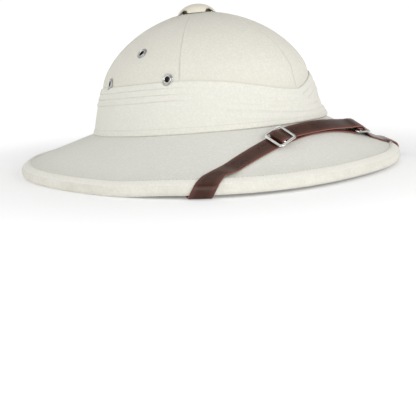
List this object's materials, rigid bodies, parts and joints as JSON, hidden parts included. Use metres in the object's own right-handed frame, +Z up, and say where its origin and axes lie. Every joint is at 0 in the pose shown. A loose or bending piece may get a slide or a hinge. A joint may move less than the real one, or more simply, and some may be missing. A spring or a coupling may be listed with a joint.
{
  "type": "pith helmet",
  "caption": "Worn cloth-covered pith helmet with a pleated band, vent eyelets, a vented top button and a buckled leather chin strap worn over the brim.",
  "frame": {"origin": "middle of the helmet's footprint, on the surface that its rim rests on", "axes": "+Z up, +Y towards the back, +X towards the wearer's left, so the front is -Y"},
  "size_m": [0.316, 0.338, 0.1442],
  "materials": {
    "cover_cloth": "matte plain-woven cotton",
    "pugaree_cloth": "matte fine cotton, pleated",
    "binding_cloth": "matte cotton strip, stitched",
    "button_cream": "cream paint, soft gloss",
    "strap_leather": "polished dark brown, raw edges",
    "nickel": "bright nickel plate"
  },
  "bodies": {
    "root": {"crown": "cover_cloth", "brim": "cover_cloth", "rim_binding": "binding_cloth", "pugaree": "pugaree_cloth", "vent_button": "button_cream", "chin_strap_left": "strap_leather", "chin_strap_right": "strap_leather", "buckle_left": "nickel", "buckle_right": "nickel", "strap_rivet_left": "nickel", "strap_rivet_right": "nickel", "vent_eyelet_left_top": "nickel", "vent_eyelet_left_front": "nickel", "vent_eyelet_left_back": "nickel", "vent_eyelet_right_top": "nickel", "vent_eyelet_right_front": "nickel", "vent_eyelet_right_back": "nickel"}
  },
  "joints": []
}
